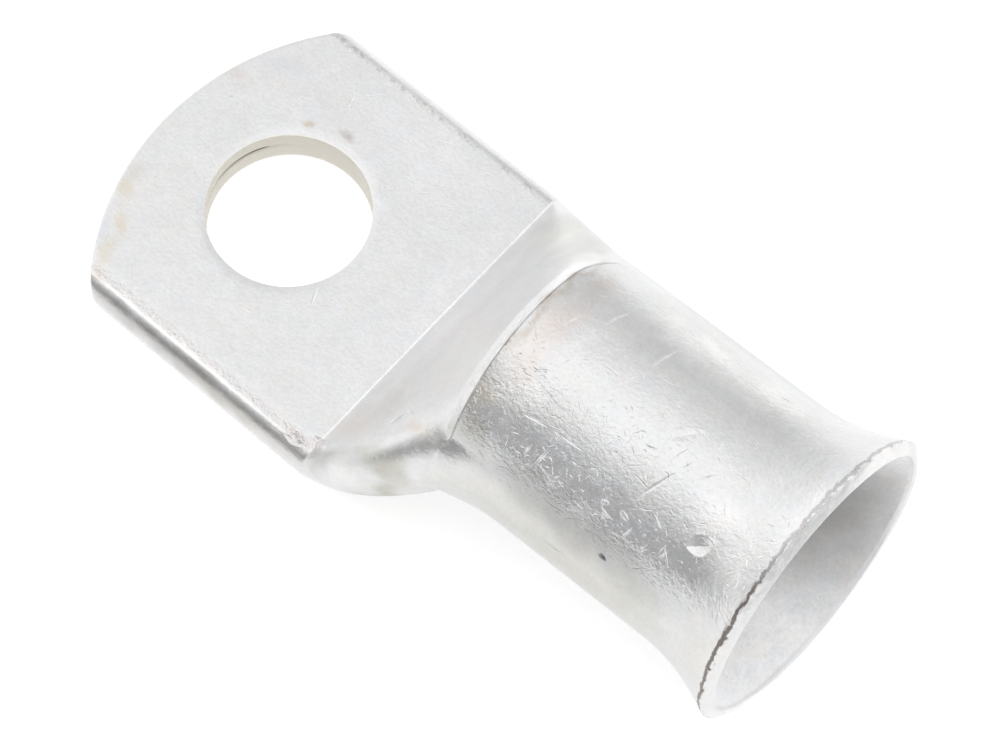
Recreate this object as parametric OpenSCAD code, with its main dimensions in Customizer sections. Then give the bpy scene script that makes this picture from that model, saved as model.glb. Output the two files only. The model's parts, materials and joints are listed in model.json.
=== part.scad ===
// Copper cable lug, tinned, for a 150 mm2 cable and an M12 stud.
// One piece: a length of tube, pressed flat at one end, punched, cropped to an arc and flared at the other.
// The origin is on the stud hole's axis, in the palm's underside. +X runs to the mouth, +Z out of the palm.

/* [Palm] */
// Thickness of the pressed palm
palm_t = 3.5; // [2.6:0.1:6]
// Width of the palm across its folded sides
palm_w = 30; // [26:0.5:38]
// Distance from the stud hole's axis to the tip of the palm
palm_tip = 12.6; // [10:0.1:18]
// Radius of the arc that the palm's end is cropped to
palm_arc_r = 22.4; // [20:0.2:40]
// Radius of the two corners between the end arc and the sides
palm_corner_r = 1.2; // [0.6:0.1:2.5]
// Distance from the stud hole's axis to the crease where the palm ends
crease_x = 14.8; // [11:0.1:22]

/* [Stud hole] */
// Diameter of the punched stud hole
stud_hole_d = 13; // [6.4:0.1:17]

/* [Barrel] */
// Outside diameter of the barrel
barrel_d = 21; // [18:0.1:25]
// Wall of the barrel
barrel_wall = 1.9; // [1.2:0.1:2.8]
// Length of the barrel, from its shoulder to the outer edge of the rim
barrel_len = 26; // [20:0.5:45]
// Rounding of the barrel's shoulder, where the press stopped
shoulder_r = 0.6; // [0.2:0.1:1.2]

/* [Mouth] */
// Outside diameter of the flared rim
rim_d = 24.6; // [22:0.1:28]
// Thickness of the lip, measured across the radius
lip_t = 1.1; // [0.6:0.1:1.8]
// How far the lip's inner edge stands out past its outer edge
lip_lead = 0.6; // [0.2:0.1:1.2]
// Length over which the tube flares to the rim
flare_len = 7.4; // [4:0.2:12]
// How late the flare turns outwards, as the power of its curve
flare_power = 2.1; // [1.4:0.1:3]

/* [Transition] */
// Run of the sloping transition, from the crease to the barrel's shoulder
slope_run = 10; // [6:0.2:16]
// Height on the barrel, in degrees above its middle, that each end of the crease fans out to
fan_angle = 38; // [20:1:55]
// Height on the barrel, in degrees below its middle, that each edge of the flat underside runs to
keel_angle = 28; // [15:1:50]
// How far the pressed-out flanks swell past a straight taper
flank_swell = 0.9; // [0:0.1:1.5]

/* [Hidden] */
$fn = 120;

eps = 0.01;
// Stations along the flat top, round each side and along the underside of every section
flat_steps = 12;
side_steps = 16;
// Sections along the slope
slope_steps = 8;

fold_r = palm_t / 2;
palm_half = palm_w / 2;
barrel_r = barrel_d / 2;
bore_r = barrel_r - barrel_wall;
rim_r = rim_d / 2;

// The rim's lowest point and the palm's underside lie in one plane, which sets the barrel's tilt
tilt = atan((rim_r - barrel_r) / barrel_len);
shoulder_x = crease_x + slope_run;
barrel_foot = [shoulder_x, 0, barrel_r * cos(tilt)];

// The transition meets the barrel a little inside its skin and runs on into its wall
skin_gap = 0.1;
skin_run = 1.2;
// Height of the closed seam at the end of the hollow
seam_h = 0.3;
// How the wall's thickness shows along the slope, for the hollow inside it
slope_rise = barrel_d - palm_t;
slope_wall = barrel_wall * norm([slope_run, slope_rise]) / slope_rise;
hollow_x = crease_x + slope_wall - (fold_r - seam_h / 2) * slope_run / slope_rise;
hollow_end = slope_wall - barrel_wall * slope_run / slope_rise;
// Flank height over which the swell fades out, in degrees each side of the barrel's middle
swell_fade = 30;
// How late the low flank lifts off the ground plane, as a power of the way along the slope
keel_lag = 1.6;
swell_lag = 1.6;
// Share of the swell that is left where the flank runs into the shoulder
swell_end = 0.6;

function lerp(a, b, s) = a + (b - a) * s;
function clamp01(v) = max(0, min(1, v));

// A flattened-tube section as [y, z] points: top, far side, underside, near side
function slot_section(half, r, z0) = concat(
    [for (k = [0 : flat_steps - 1]) [lerp(half - r, r - half, k / flat_steps), z0 + 2 * r]],
    [for (k = [0 : side_steps - 1]) let (a = 90 + 180 * k / side_steps)
        [r - half + r * cos(a), z0 + r + r * sin(a)]],
    [for (k = [0 : flat_steps - 1]) [lerp(r - half, half - r, k / flat_steps), z0]],
    [for (k = [0 : side_steps - 1]) let (a = -90 + 180 * k / side_steps)
        [half - r + r * cos(a), z0 + r + r * sin(a)]]
);

// The angles round the barrel that the same stations run to
ring_angles = concat(
    [for (k = [0 : flat_steps - 1]) lerp(fan_angle, 180 - fan_angle, k / flat_steps)],
    [for (k = [0 : side_steps - 1]) lerp(180 - fan_angle, 180 + keel_angle, k / side_steps)],
    [for (k = [0 : flat_steps - 1]) lerp(180 + keel_angle, 360 - keel_angle, k / flat_steps)],
    [for (k = [0 : side_steps - 1]) lerp(360 - keel_angle, 360 + fan_angle, k / side_steps)]
);

// A point in the barrel's own frame: along its axis, then the angle and radius round it
function on_barrel(along, angle, r) = barrel_foot
    + along * [cos(tilt), 0, sin(tilt)]
    + r * cos(angle) * [0, 1, 0]
    + r * sin(angle) * [-sin(tilt), 0, cos(tilt)];

function barrel_ring(along, r) = [for (a = ring_angles) on_barrel(along, a, r)];
function flat_ring(x, half, r, z0) = [for (p = slot_section(half, r, z0)) [x, p[0], p[1]]];

// 1 on the low flank and underside, fading to 0 on the upper flank and top
function lowness(a) = (1 - sin(90 * max(-1, min(1, asin(sin(a)) / swell_fade)))) / 2;
function swell_at(s) = pow(s, swell_lag) * (1 - s) / 0.145 + swell_end * s;

// A section part of the way between a flattened ring and a round one
function slope_ring(flat, round, s) = [for (i = [0 : len(flat) - 1])
    let (a = ring_angles[i], low = lowness(a), straight = lerp(flat[i], round[i], s),
        late_z = lerp(flat[i][2], round[i][2], pow(s, keel_lag)))
    [straight[0], straight[1] + flank_swell * low * cos(a) * swell_at(s), lerp(straight[2], late_z, low)]
];

// A closed skin over a list of rings, all with the same number of points
module skin(rings) {
    n = len(rings[0]);
    last = len(rings) - 1;
    points = [for (ring = rings, p = ring) p];
    walls = [for (j = [0 : last - 1], i = [0 : n - 1]) let (k = (i + 1) % n)
        each [[j * n + k, j * n + i, (j + 1) * n + k], [(j + 1) * n + k, j * n + i, (j + 1) * n + i]]];
    // Each end face starts from the middle of a side, where no three points in a row lie on a line
    first = flat_steps + side_steps / 2;
    caps = [[for (i = [0 : n - 1]) (first + i) % n], [for (i = [n : -1 : 1]) last * n + (first + i) % n]];
    polyhedron(points, concat(walls, caps), convexity = 6);
}

module sector(q, a0, a1) polygon([[0, 0], q * [cos(a0), sin(a0)],
    q * [cos((a0 + a1) / 2), sin((a0 + a1) / 2)], q * [cos(a1), sin(a1)]]);

// Plan of the palm's end: an arc with two rounded corners
module palm_plan() {
    arc_x = palm_arc_r - palm_tip;
    corner_y = palm_half - palm_corner_r - fold_r / 10;
    corner_x = arc_x - sqrt(pow(palm_arc_r - palm_corner_r, 2) - pow(corner_y, 2));
    turn = atan2(corner_y, corner_x - arc_x);
    difference() {
        union() {
            translate([arc_x, 0]) circle(palm_arc_r, $fn = 360);
            translate([corner_x, -palm_w]) square([shoulder_x + barrel_len, 2 * palm_w]);
        }
        for (side = [1, -1]) translate([corner_x, side * corner_y]) difference() {
            sector(3 * palm_corner_r, side * 90, side * turn);
            circle(palm_corner_r);
        }
    }
}

// The outside of palm and transition: the pressed end of the tube, as one skin
module pressed_end() {
    crease = flat_ring(crease_x, palm_half, fold_r, 0);
    shoulder = barrel_ring(0, barrel_r - skin_gap);
    intersection() {
        skin(concat(
            [flat_ring(-palm_tip - 1, palm_half, fold_r, 0)],
            [for (j = [0 : slope_steps]) slope_ring(crease, shoulder, j / slope_steps)],
            [barrel_ring(skin_run, barrel_r - skin_gap)]
        ));
        translate([0, 0, -eps]) linear_extrude(barrel_d + rim_d) palm_plan();
    }
}

// The hollow inside the transition, closing to the seam between the pressed walls
module hollow() {
    seam = flat_ring(hollow_x, palm_half - barrel_wall, seam_h / 2, fold_r - seam_h / 2);
    round = barrel_ring(hollow_end, bore_r - skin_gap);
    skin(concat(
        [for (j = [0 : slope_steps]) slope_ring(seam, round, j / slope_steps)],
        [barrel_ring(hollow_end + skin_run, bore_r - skin_gap)]
    ));
}

module in_barrel_frame() translate(barrel_foot) rotate([0, 90 - tilt, 0]) children();

flare_steps = 12;
function flare_r(base, rim, s) = base + (rim - base) * pow(s, flare_power);

// Outside of the barrel and its flared mouth, turned about the barrel's axis
module barrel_body() in_barrel_frame() rotate_extrude() polygon(concat(
    [[0, 0], [barrel_r - shoulder_r, 0]],
    [for (a = [15 : 15 : 90]) [barrel_r - shoulder_r + shoulder_r * sin(a), shoulder_r - shoulder_r * cos(a)]],
    [for (k = [0 : flare_steps]) let (s = k / flare_steps)
        [flare_r(barrel_r, rim_r, s), barrel_len - flare_len * (1 - s)]],
    [[rim_r - lip_t, barrel_len + lip_lead], [0, barrel_len + lip_lead]]
));

// The cable's bore and the inside of the mouth
module barrel_bore() in_barrel_frame() rotate_extrude() polygon(concat(
    [[0, hollow_end], [bore_r, hollow_end]],
    [for (k = [0 : flare_steps]) let (s = k / flare_steps)
        [flare_r(bore_r, rim_r - lip_t, s), barrel_len + lip_lead - flare_len * (1 - s)]],
    [[rim_r - lip_t, barrel_len + lip_lead + 1], [0, barrel_len + lip_lead + 1]]
));

module lug() {
    color("silver") difference() {
        union() {
            pressed_end();
            barrel_body();
        }
        hollow();
        barrel_bore();
        translate([0, 0, -1]) cylinder(d = stud_hole_d, h = palm_t + 2);
    }
}

lug();
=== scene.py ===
import json
import math

import bpy
import bmesh
import numpy as np
from mathutils import Matrix, Vector, noise


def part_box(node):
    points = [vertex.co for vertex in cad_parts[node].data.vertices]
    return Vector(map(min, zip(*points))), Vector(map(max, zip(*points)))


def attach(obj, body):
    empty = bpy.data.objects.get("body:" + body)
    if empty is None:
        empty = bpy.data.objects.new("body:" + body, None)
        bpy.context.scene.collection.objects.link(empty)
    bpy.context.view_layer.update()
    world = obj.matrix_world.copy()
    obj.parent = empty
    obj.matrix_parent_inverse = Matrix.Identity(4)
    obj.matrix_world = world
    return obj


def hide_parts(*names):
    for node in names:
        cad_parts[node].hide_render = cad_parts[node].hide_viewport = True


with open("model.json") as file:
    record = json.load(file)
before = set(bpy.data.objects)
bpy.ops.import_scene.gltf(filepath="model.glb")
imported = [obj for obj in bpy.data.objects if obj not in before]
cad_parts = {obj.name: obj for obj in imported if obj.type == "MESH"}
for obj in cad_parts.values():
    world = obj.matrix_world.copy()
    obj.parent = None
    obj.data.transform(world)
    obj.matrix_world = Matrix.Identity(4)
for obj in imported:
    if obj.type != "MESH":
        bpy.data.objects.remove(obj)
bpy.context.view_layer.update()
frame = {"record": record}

MM = 0.001
scene = bpy.context.scene

# ---------------------------------------------------------------------------------------------
# The view. A small part laid on a white sheet and looked at steeply from beside its barrel,
# with the camera turned a little about its own axis.
# ---------------------------------------------------------------------------------------------
VIEW_HEIGHT = math.radians(66.894)
VIEW_SIDE = math.radians(-52.600)
VIEW_ROLL = math.radians(3.7976)
VIEW_DISTANCE = 0.26734
VIEW_TARGET = Vector((25 * MM, 0, 5 * MM))

away = Vector((
    math.cos(VIEW_HEIGHT) * math.cos(VIEW_SIDE),
    math.cos(VIEW_HEIGHT) * math.sin(VIEW_SIDE),
    math.sin(VIEW_HEIGHT),
))
level = Vector((0, 0, 1)).cross(away).normalized()
upright = away.cross(level)
view_x = math.cos(VIEW_ROLL) * level + math.sin(VIEW_ROLL) * upright
view_y = math.cos(VIEW_ROLL) * upright - math.sin(VIEW_ROLL) * level
stand = VIEW_TARGET + VIEW_DISTANCE * away

lens = bpy.data.cameras.new("lens")
lens.sensor_width = 36
lens.lens = 128.51
lens.shift_x = -0.03469
lens.shift_y = 0.02525
camera = bpy.data.objects.new("camera", lens)
camera.matrix_world = Matrix((
    (view_x.x, view_y.x, away.x, stand.x),
    (view_x.y, view_y.y, away.y, stand.y),
    (view_x.z, view_y.z, away.z, stand.z),
    (0, 0, 0, 1),
))
scene.collection.objects.link(camera)
scene.camera = camera

# ---------------------------------------------------------------------------------------------
# The lug's shape. A length of copper tube: one end is pressed flat for the palm, the flat is
# cropped to an arc and punched for the stud, and the open end is flared over a cone.
# ---------------------------------------------------------------------------------------------
mounts = {mount["name"]: mount for mount in frame["record"]["mounts"]}
palm_low, rim_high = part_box("lug")
PALM_THICK = mounts["palm_top"]["pos_m"][2]
PALM_WIDE = rim_high.y - palm_low.y
PALM_TIP = -palm_low.x
STUD_HOLE = 2 * mounts["stud_hole"]["dims"]["r_mm"] * MM

SIZES = {
    "palm thickness": PALM_THICK,
    "palm width": PALM_WIDE,
    "palm side roundness": 1.95 * MM,
    "palm tip": PALM_TIP,
    "end arc radius": 22.4 * MM,
    "end corner radius": 1.2 * MM,
    "cropped edge": 0.16 * MM,
    "stud hole": STUD_HOLE,
    "punch draw": 0.10 * MM,
    "crease": 14.8 * MM,
    "crease roundness": 0.22 * MM,
    "slope run": 10 * MM,
    "far fan angle": math.radians(37),
    "near fan angle": math.radians(25),
    "keel angle": math.radians(28),
    "flank swell": 0.58 * MM,
    "flank fullness": 1.1 * MM,
    "fold arch": 1.2 * MM,
    "press mark run": 0.45 * MM,
    "press mark far run": 1.3 * MM,
    "press mark height": 0.04 * MM,
    "shoulder dip": 0.09 * MM,
    "shoulder roundness": 1.6 * MM,
    "barrel diameter": 21 * MM,
    "tube wall": 1.9 * MM,
    "barrel length": 26 * MM,
    "rim diameter": 24.6 * MM,
    "lip thickness": 1.1 * MM,
    "lip lead": 0.6 * MM,
    "flare length": 7.4 * MM,
    "flare power": 2.1,
    "seam gap": 0.3 * MM,
    "unevenness": 0.05 * MM,
}
TOP_POINTS = 84
SIDE_POINTS = 36
ROUND_POINTS = 2 * (TOP_POINTS + SIDE_POINTS)


class Amount:
    """A number worked out at every point of the tube, written as plain arithmetic."""

    def __init__(self, socket):
        self.socket = socket

    def work(self, step, *others):
        tree = self.socket.id_data
        node = tree.nodes.new("ShaderNodeMath")
        node.operation = step
        for place, value in enumerate((self,) + others):
            if isinstance(value, Amount):
                tree.links.new(value.socket, node.inputs[place])
            else:
                node.inputs[place].default_value = value
        return Amount(node.outputs[0])

    def __add__(self, other):
        return self.work("ADD", other)

    def __radd__(self, other):
        return self.work("ADD", other)

    def __sub__(self, other):
        return self.work("SUBTRACT", other)

    def __rsub__(self, other):
        return (self * -1) + other

    def __mul__(self, other):
        return self.work("MULTIPLY", other)

    def __rmul__(self, other):
        return self.work("MULTIPLY", other)

    def __truediv__(self, other):
        return self.work("DIVIDE", other)

    def __pow__(self, other):
        return self.work("POWER", other)

    def held(self, least, most):
        return self.work("MAXIMUM", least).work("MINIMUM", most)


def blend(start, end, share):
    return start + (end - start) * share


def soft_step(share):
    return share * share * (3.0 - 2.0 * share)


press = bpy.data.node_groups.new("press, crop, punch and flare", "GeometryNodeTree")
press.interface.new_socket("lug", in_out="OUTPUT", socket_type="NodeSocketGeometry")
for name in SIZES:
    press.interface.new_socket(name, in_out="INPUT", socket_type="NodeSocketFloat")
press.interface.new_socket("plating", in_out="INPUT", socket_type="NodeSocketMaterial")
orders = press.nodes.new("NodeGroupInput")
done = press.nodes.new("NodeGroupOutput")
size = {name: Amount(orders.outputs[name]) for name in SIZES}

fold_z = size["palm thickness"] * 0.5
fold_y = size["palm side roundness"]
half = size["palm width"] * 0.5
barrel = size["barrel diameter"] * 0.5
bore = barrel - size["tube wall"]
rim = size["rim diameter"] * 0.5
tilt = ((rim - barrel) / size["barrel length"]).work("ARCTANGENT")
tilt_cos = tilt.work("COSINE")
tilt_sin = tilt.work("SINE")
foot_x = size["crease"] + size["slope run"]
foot_z = barrel * tilt_cos


# The swollen flanks: the height over which the swell fades out, how late the low flank lifts, the
# peak of the swell's curve before it is scaled to 1, and the share of it left at the shoulder
SWELL_FADE = math.radians(30)
KEEL_LAG = 1.6
SWELL_PEAK = 0.145
SWELL_END = 0.6


class Station:
    """Where a line that runs the length of the tube lies round its section."""

    def __init__(self, index):
        corner_1 = float(TOP_POINTS)
        corner_2 = corner_1 + SIDE_POINTS
        corner_3 = corner_2 + TOP_POINTS
        self.top = (index / TOP_POINTS).held(0.0, 1.0)
        self.side_1 = ((index - corner_1) / SIDE_POINTS).held(0.0, 1.0)
        self.under = ((index - corner_2) / TOP_POINTS).held(0.0, 1.0)
        self.side_2 = ((index - corner_3) / SIDE_POINTS).held(0.0, 1.0)
        far_fan = size["far fan angle"]
        near_fan = size["near fan angle"]
        keel = size["keel angle"]
        self.angle = (
            far_fan + self.top * (math.pi - (far_fan + near_fan)) + self.side_1 * (near_fan + keel)
            + self.under * (math.pi - 2.0 * keel) + self.side_2 * (far_fan + keel)
        )
        self.sin = self.angle.work("SINE")
        self.cos = self.angle.work("COSINE")
        # 1 on the low flank and underside, fading to 0 on the upper flank and top
        height = (self.sin.work("ARCSINE") * (90.0 / SWELL_FADE)).held(-90.0, 90.0)
        self.low = (1.0 - height.work("RADIANS").work("SINE")) * 0.5

    def flat(self, half_width, round_y, round_z, base):
        """The line's y and z on a flattened section."""
        reach = (round_z / round_y).work("MINIMUM", 1.0).work("ARCSINE")
        turn_1 = reach * (1.0 - 2.0 * self.side_1)
        turn_2 = reach * (2.0 * self.side_2 - 1.0)
        start = reach.work("COSINE")
        y = (
            (half_width - round_y * (1.0 - start)) * (1.0 - 2.0 * self.top + 2.0 * self.under)
            - round_y * (turn_1.work("COSINE") - start) + round_y * (turn_2.work("COSINE") - start)
        )
        lower = round_y * turn_1.work("SINE")
        upper = round_y * (turn_2.work("SINE") + reach.work("SINE"))
        return y, base + round_z + lower + upper

    def round(self, along, radius):
        """The line's place on the round barrel, by its distance along the axis and its radius."""
        up = radius * self.sin
        return (
            foot_x + along * tilt_cos - up * tilt_sin,
            radius * self.cos,
            foot_z + along * tilt_sin + up * tilt_cos,
        )

    def slope(self, flat, ring, share):
        """Part of the way from a flattened section to a round one."""
        lag = share ** KEEL_LAG
        swell = lag * (1.0 - share) / SWELL_PEAK + share * SWELL_END
        puff = self.fullness() * ((share / 0.55).held(0.0, 1.0) * (math.pi / 2)).work("SINE")
        # The near fold rises in an arch between the palm and the barrel
        by_fold = ((self.top - 0.86) / 0.14).held(0.0, 1.0) ** 2.0
        by_fold = by_fold * (((self.side_1 / 0.9).held(0.0, 1.0) * (math.pi / 2)).work("COSINE") ** 2.0)
        arch = size["fold arch"] * by_fold * (share * math.pi).work("SINE").work("MAXIMUM", 0.0)
        x = blend(flat[0], ring[0], share) + arch * 0.2
        y = blend(flat[1], ring[1], share) + size["flank swell"] * self.low * self.cos * swell
        y = y + puff * self.cos - arch * 0.32
        straight = blend(flat[2], ring[2], share)
        z = blend(straight, blend(flat[2], ring[2], lag), self.low)
        return x, y, z + puff * self.sin + arch * 0.9

    def fullness(self):
        """How far the press filled out the near flank at this line."""
        return size["flank fullness"] * self.side_1 * (1.0 - self.side_1) * (5.0 - 2.4 * self.side_1)


# How many lines round the section each soft fold between slope and flank takes in
FOLD_LINES = 7.0


def sheet_of_tube(count, place):
    """A stretch of the tube's skin: count rings, each point placed by its station and ring."""
    grid = press.nodes.new("GeometryNodeMeshGrid")
    grid.inputs["Vertices X"].default_value = ROUND_POINTS + 1
    grid.inputs["Vertices Y"].default_value = count
    number = Amount(press.nodes.new("GeometryNodeInputIndex").outputs[0])
    station = (number / count).work("FLOOR")
    ring = (number - station * count) / (count - 1)
    # The last line round is the first one again
    station = station - (station.work("COMPARE", float(ROUND_POINTS), 0.5)) * ROUND_POINTS
    line = Station(station)
    x, y, z = place(line, ring)
    if place in (on_bore, on_hollow):
        inner = press.nodes.new("GeometryNodeStoreNamedAttribute")
        inner.data_type = "FLOAT"
        inner.domain = "POINT"
        inner.inputs["Name"].default_value = "bore skin"
        inner.inputs["Value"].default_value = 1.0
        press.links.new(set_place(grid.outputs["Mesh"], x, y, z), inner.inputs["Geometry"])
        return inner.outputs["Geometry"]
    if place is not on_slope:
        return set_place(grid.outputs["Mesh"], x, y, z)
    # The folds between the slope and its flanks are soft, more so towards the barrel
    near_fold = 1.0 - ((station - TOP_POINTS).work("ABSOLUTE") / FOLD_LINES).held(0.0, 1.0)
    near_fold = near_fold * (1.0 - ((ring - 0.3) * 5.0).held(0.0, 0.85))
    far_fold = 1.0 - (station / FOLD_LINES).held(0.0, 1.0)
    far_fold = far_fold + 1.0 - ((station - ROUND_POINTS).work("ABSOLUTE") / FOLD_LINES).held(0.0, 1.0)
    ease = ((ring - 0.16) * 4.0).held(0.0, 1.0) * ((0.94 - ring) * 12.0).held(0.0, 1.0)
    mark = press.nodes.new("GeometryNodeStoreNamedAttribute")
    mark.data_type = "FLOAT"
    mark.domain = "POINT"
    mark.inputs["Name"].default_value = "soft fold"
    press.links.new(set_place(grid.outputs["Mesh"], x, y, z), mark.inputs["Geometry"])
    press.links.new(((near_fold + far_fold) * ease).held(0.0, 1.0).socket, mark.inputs["Value"])
    return mark.outputs["Geometry"]


def set_place(mesh, x, y, z):
    point = press.nodes.new("ShaderNodeCombineXYZ")
    for socket, value in zip(point.inputs, (x, y, z)):
        press.links.new(value.socket, socket)
    move = press.nodes.new("GeometryNodeSetPosition")
    press.links.new(mesh, move.inputs["Geometry"])
    press.links.new(point.outputs[0], move.inputs["Position"])
    return move.outputs["Geometry"]


def cropped_end(y):
    """How far out the end arc and its two corners reach at a given y."""
    arc = size["end arc radius"]
    corner = size["end corner radius"]
    arc_x = arc - size["palm tip"]
    corner_y = half - corner - size["palm thickness"] * 0.05
    corner_x = arc_x - ((arc - corner) * (arc - corner) - corner_y * corner_y).work("SQRT")
    out = y.work("ABSOLUTE")
    on_arc = arc_x - (arc * arc - out * out).work("SQRT")
    past = (out - corner_y).held(0.0, 1.0).work("MINIMUM", corner)
    on_corner = corner_x - (corner * corner - past * past).work("MAXIMUM", 0.0).work("SQRT")
    at_corner = out.work("GREATER_THAN", corner_y * arc / (arc - corner))
    return blend(on_arc, on_corner, at_corner)


def drawn_down(x, y):
    """How far the punch drew the face down beside the stud hole."""
    gap = (x * x + y * y).work("SQRT") - size["stud hole"] * 0.5
    return size["punch draw"] * ((gap.work("MAXIMUM", 0.0) / (-0.28 * MM)).work("EXPONENT"))


PALM_RINGS = 106


def on_palm(station, ring):
    y, z = station.flat(half, fold_y, fold_z, 0.0)
    turn = (ring * ((PALM_RINGS - 1) / 3.0)).held(0.0, 1.0) * (math.pi / 2)
    edge = size["cropped edge"]
    along = ((ring - 3.0 / (PALM_RINGS - 1)) * ((PALM_RINGS - 1) / (PALM_RINGS - 4.0))).held(0.0, 1.0)
    start = cropped_end(y) + edge * (1.0 - turn.work("COSINE"))
    x = blend(start, size["crease"] - size["crease roundness"], along)
    lift = z - fold_z
    thin = (lift.work("ABSOLUTE") - edge * (1.0 - turn.work("SINE"))).work("MAXIMUM", 0.0)
    thin = thin - drawn_down(x, y) * lift.work("GREATER_THAN", 0.0)
    return x, y, fold_z + lift.work("SIGN") * thin


CAP_ROWS = 13


def end_face():
    """The cropped end between the palm's two faces, with the seam of the pressed tube in it."""
    columns = TOP_POINTS + SIDE_POINTS
    grid = press.nodes.new("GeometryNodeMeshGrid")
    grid.inputs["Vertices X"].default_value = columns + 1
    grid.inputs["Vertices Y"].default_value = CAP_ROWS
    number = Amount(press.nodes.new("GeometryNodeInputIndex").outputs[0])
    column = (number / CAP_ROWS).work("FLOOR")
    row = (number - column * CAP_ROWS) / (CAP_ROWS - 1)
    index = column - SIDE_POINTS * 0.5
    index = index + index.work("LESS_THAN", 0.0) * ROUND_POINTS
    y, z = Station(index).flat(half, fold_y, fold_z, 0.0)
    flip = press.nodes.new("GeometryNodeFlipFaces")
    reach = (z - fold_z - size["cropped edge"]).work("MAXIMUM", 0.0)
    seam = row.work("COMPARE", 0.5, 0.01) * reach.work("GREATER_THAN", 0.6 * MM)
    x = cropped_end(y) + seam * (0.14 * MM)
    press.links.new(
        set_place(grid.outputs["Mesh"], x, y, fold_z + reach * (1.0 - 2.0 * row)), flip.inputs["Mesh"])
    return flip.outputs["Mesh"]


SLOPE_RINGS = 66
CREASE_RINGS = 7


def crease_line(station):
    y, z = station.flat(half, fold_y, fold_z, 0.0)
    return size["crease"] + y * 0.0, y, z


# The share of the slope at which the press tool's flat starts, how far the slope's end lies inside
# the barrel's skin, and the length over which the near flank's fullness fades along the barrel
MARK_START = 0.95
SKIN_GAP = 0.1 * MM
FLANK_FADE = 2.6 * MM


def pressed(station):
    """How far a line takes part in the narrow flat that the press tool left over the shoulder."""
    near = (1.0 - station.side_1 * 9.0).held(0.0, 1.0)
    return near + soft_step(((station.side_2 - 0.25) / 0.75).held(0.0, 1.0))


def mark_run(station):
    """How far onto the barrel the flat runs: further at its far end, where it trails off."""
    return size["press mark run"] + size["press mark far run"] * trailing(station)


def trailing(station):
    """0 along most of the flat, rising to 1 where it dies away at its far end."""
    trail = ((1.0 - station.top * 4.0).held(0.0, 1.0) + station.under.work("CEIL")).held(0.0, 1.0)
    return trail * trail


def slope_at(station, share):
    """A place on the slope, which ends in the press tool's narrow flat."""
    foot = station.round(0.0, barrel - SKIN_GAP)
    plain = station.slope(crease_line(station), foot, share)
    start = station.slope(crease_line(station), foot, share * 0.0 + MARK_START)
    mark_radius = barrel + size["press mark height"] * (1.0 - trailing(station))
    end = station.round(mark_run(station), mark_radius)
    over = ((share - MARK_START) / (1.0 - MARK_START)).held(0.0, 1.0)
    part = pressed(station) * share.work("GREATER_THAN", MARK_START)
    return tuple(blend(p, blend(f, e, over), part) for p, f, e in zip(plain, start, end))


def on_slope(station, ring):
    flat = crease_line(station)
    bend = (ring * ((SLOPE_RINGS - 1) / CREASE_RINGS)).held(0.0, 1.0)
    first = 0.018
    share = ((ring - CREASE_RINGS / (SLOPE_RINGS - 1))
             * ((SLOPE_RINGS - 1) / (SLOPE_RINGS - 1 - CREASE_RINGS))).held(0.0, 1.0)
    share = first + (1.0 - first) * (1.0 - (1.0 - share) ** 1.5)
    on = slope_at(station, share)
    before = (flat[0] - size["crease roundness"], flat[1], flat[2])
    away = 1.0 - bend
    bending = bend.work("LESS_THAN", 1.0)
    bent = [a * (away * away) + b * (2.0 * away * bend) + c * (bend * bend)
            for a, b, c in zip(before, flat, on)]
    return tuple(blend(o, b, bending) for o, b in zip(on, bent))


BARREL_RINGS = 108
SHOULDER_RINGS = 8


def flared(base, end, along, length):
    share = ((along - length + size["flare length"]) / size["flare length"]).held(0.0, 1.0)
    return base + (end - base) * (share ** size["flare power"])


def on_barrel(station, ring):
    """The barrel. Past the press tool's mark the skin dips a little before it runs straight."""
    first = SHOULDER_RINGS / (BARREL_RINGS - 1)
    turn = (ring / first).held(0.0, 1.0)
    past = (ring - first).work("MAXIMUM", 0.0) / (1.0 - first)
    part = pressed(station)
    corner = size["shoulder roundness"]
    begin = mark_run(station) * part
    corner = corner + begin - size["press mark run"]
    along = begin + (corner - begin) * (turn ** 1.5) + (size["barrel length"] - corner) * past
    left = (1.0 - turn) * (1.0 - turn)
    crest = size["shoulder dip"] + size["press mark height"]
    crest = turn.work("LESS_THAN", 0.5 / SHOULDER_RINGS) * crest
    sharp = part * (1.0 - trailing(station))
    dip = (crest - size["shoulder dip"] * left) * sharp - (1.0 - part) * left * SKIN_GAP
    # The near flank's fullness fades out along the barrel
    fade = along / FLANK_FADE
    full = station.fullness() * (fade * fade * -1.0).work("EXPONENT")
    on = station.round(along, flared(barrel, rim, along, size["barrel length"]) + dip + full)
    # The pressed flank ends a little proud of the barrel, and turns down onto it
    start = slope_at(station, along * 0.0 + 1.0)
    first_dip = size["press mark height"] * sharp - (1.0 - part) * SKIN_GAP
    fade_0 = begin / FLANK_FADE
    full_0 = station.fullness() * (fade_0 * fade_0 * -1.0).work("EXPONENT")
    base = station.round(begin, barrel + first_dip + full_0)
    return tuple(o + (s - b) * left for o, s, b in zip(on, start, base))


LIP_RINGS = 12
LIP_ROUND = 0.32 * MM


def on_lip(station, ring):
    inner = rim - size["lip thickness"]
    round_share = 0.35
    face = (ring / (1.0 - round_share)).held(0.0, 1.0)
    turn = ((ring - (1.0 - round_share)) / round_share).held(0.0, 1.0) * (math.pi / 2)
    radius = rim - (size["lip thickness"] - LIP_ROUND) * face - LIP_ROUND * turn.work("SINE")
    along = size["barrel length"] + size["lip lead"] * face - LIP_ROUND * (1.0 - turn.work("COSINE"))
    return station.round(along, radius)


BORE_RINGS = 46


def hollow_start():
    rise = 2.0 * barrel - size["palm thickness"]
    run = size["slope run"]
    wall = size["tube wall"] * (run * run + rise * rise).work("SQRT") / rise
    end = wall - size["tube wall"] * run / rise
    x = size["crease"] + wall - (fold_z - size["seam gap"] * 0.5) * run / rise
    return x, end


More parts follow.
